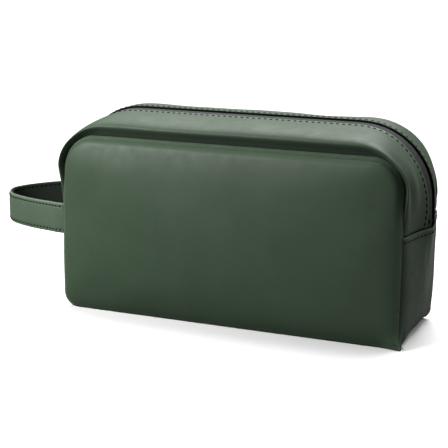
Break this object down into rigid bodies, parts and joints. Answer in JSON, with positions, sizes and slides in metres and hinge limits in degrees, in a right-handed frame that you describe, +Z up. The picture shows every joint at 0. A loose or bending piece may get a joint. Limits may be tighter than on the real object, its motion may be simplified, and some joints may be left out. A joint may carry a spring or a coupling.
{
  "type": "wash bag",
  "caption": "Padded leather-cloth wash bag for shaving things, with a zip over its top and a wrist strap at its left end.",
  "frame": {"origin": "on the floor plane under the middle of the bag", "axes": "+X along the bag away from the wrist strap, -Y towards the front panel, +Z up"},
  "size_m": [0.3253, 0.094, 0.1419],
  "materials": {
    "leather_cloth": "matte, very fine grain, soft sheen",
    "strap_leather": "matte, very fine grain",
    "foam": "soft foam sheet",
    "lining": "plain woven polyester",
    "binding": "ribbed binding tape",
    "zip_tape": "woven polyester tape",
    "zip_coil": "nylon coil",
    "slider_metal": "satin gunmetal plating"
  },
  "bodies": {
    "root": {"back_binding_lower": "binding", "back_foam_lower": "foam", "back_lining_lower": "lining", "back_panel_lower": "leather_cloth", "base_foam": "foam", "base_gusset": "leather_cloth", "base_lining": "lining", "end_bindings": "binding", "front_binding_lower": "binding", "front_foam_lower": "foam", "front_lining_lower": "lining", "front_panel_lower": "leather_cloth", "strap_end_back": "strap_leather", "strap_end_front": "strap_leather", "zip_end_stops": "slider_metal"},
    "front_mouth": {"front_binding_upper": "binding", "front_foam_upper": "foam", "front_lining_upper": "lining", "front_panel_upper": "leather_cloth", "strip_foam_front": "foam", "strip_lining_front": "lining", "zip_coil_front": "zip_coil", "zip_strip_front": "leather_cloth", "zip_tape_front": "zip_tape"},
    "back_mouth": {"back_binding_upper": "binding", "back_foam_upper": "foam", "back_lining_upper": "lining", "back_panel_upper": "leather_cloth", "strip_foam_back": "foam", "strip_lining_back": "lining", "zip_coil_back": "zip_coil", "zip_strip_back": "leather_cloth", "zip_tape_back": "zip_tape"},
    "zip_slider": {"slider_body": "slider_metal"},
    "zip_puller": {"pull_tab": "slider_metal"},
    "strap_loop": {"wrist_strap": "strap_leather"}
  },
  "joints": [
    {"name": "front_mouth_fold", "type": "hinge", "parent": "root", "child": "front_mouth", "pos_m": [0, -0.0475, 0.076], "axis": [1, 0, 0], "range_deg": [0, 20], "deforming": ["zip_tape_front", "zip_coil_front"]},
    {"name": "back_mouth_fold", "type": "hinge", "parent": "root", "child": "back_mouth", "pos_m": [0, 0.0475, 0.076], "axis": [-1, 0, 0], "range_deg": [0, 20], "deforming": ["zip_tape_back", "zip_coil_back"]},
    {"name": "zip_travel", "type": "hinge", "parent": "root", "child": "zip_slider", "pos_m": [0, 0, 0.087], "axis": [0, 1, 0], "range_deg": [0, 180]},
    {"name": "puller_swing", "type": "hinge", "parent": "zip_slider", "child": "zip_puller", "pos_m": [-0.13405, 0, 0.08475], "axis": [0, 1, 0], "range_deg": [0, 170]},
    {"name": "strap_lift", "type": "hinge", "parent": "root", "child": "strap_loop", "pos_m": [-0.1458, 0, 0.064], "axis": [0, 1, 0], "range_deg": [-45, 45], "stiffness_Nm_per_rad": 0.03, "springref_deg": 2.86}
  ]
}
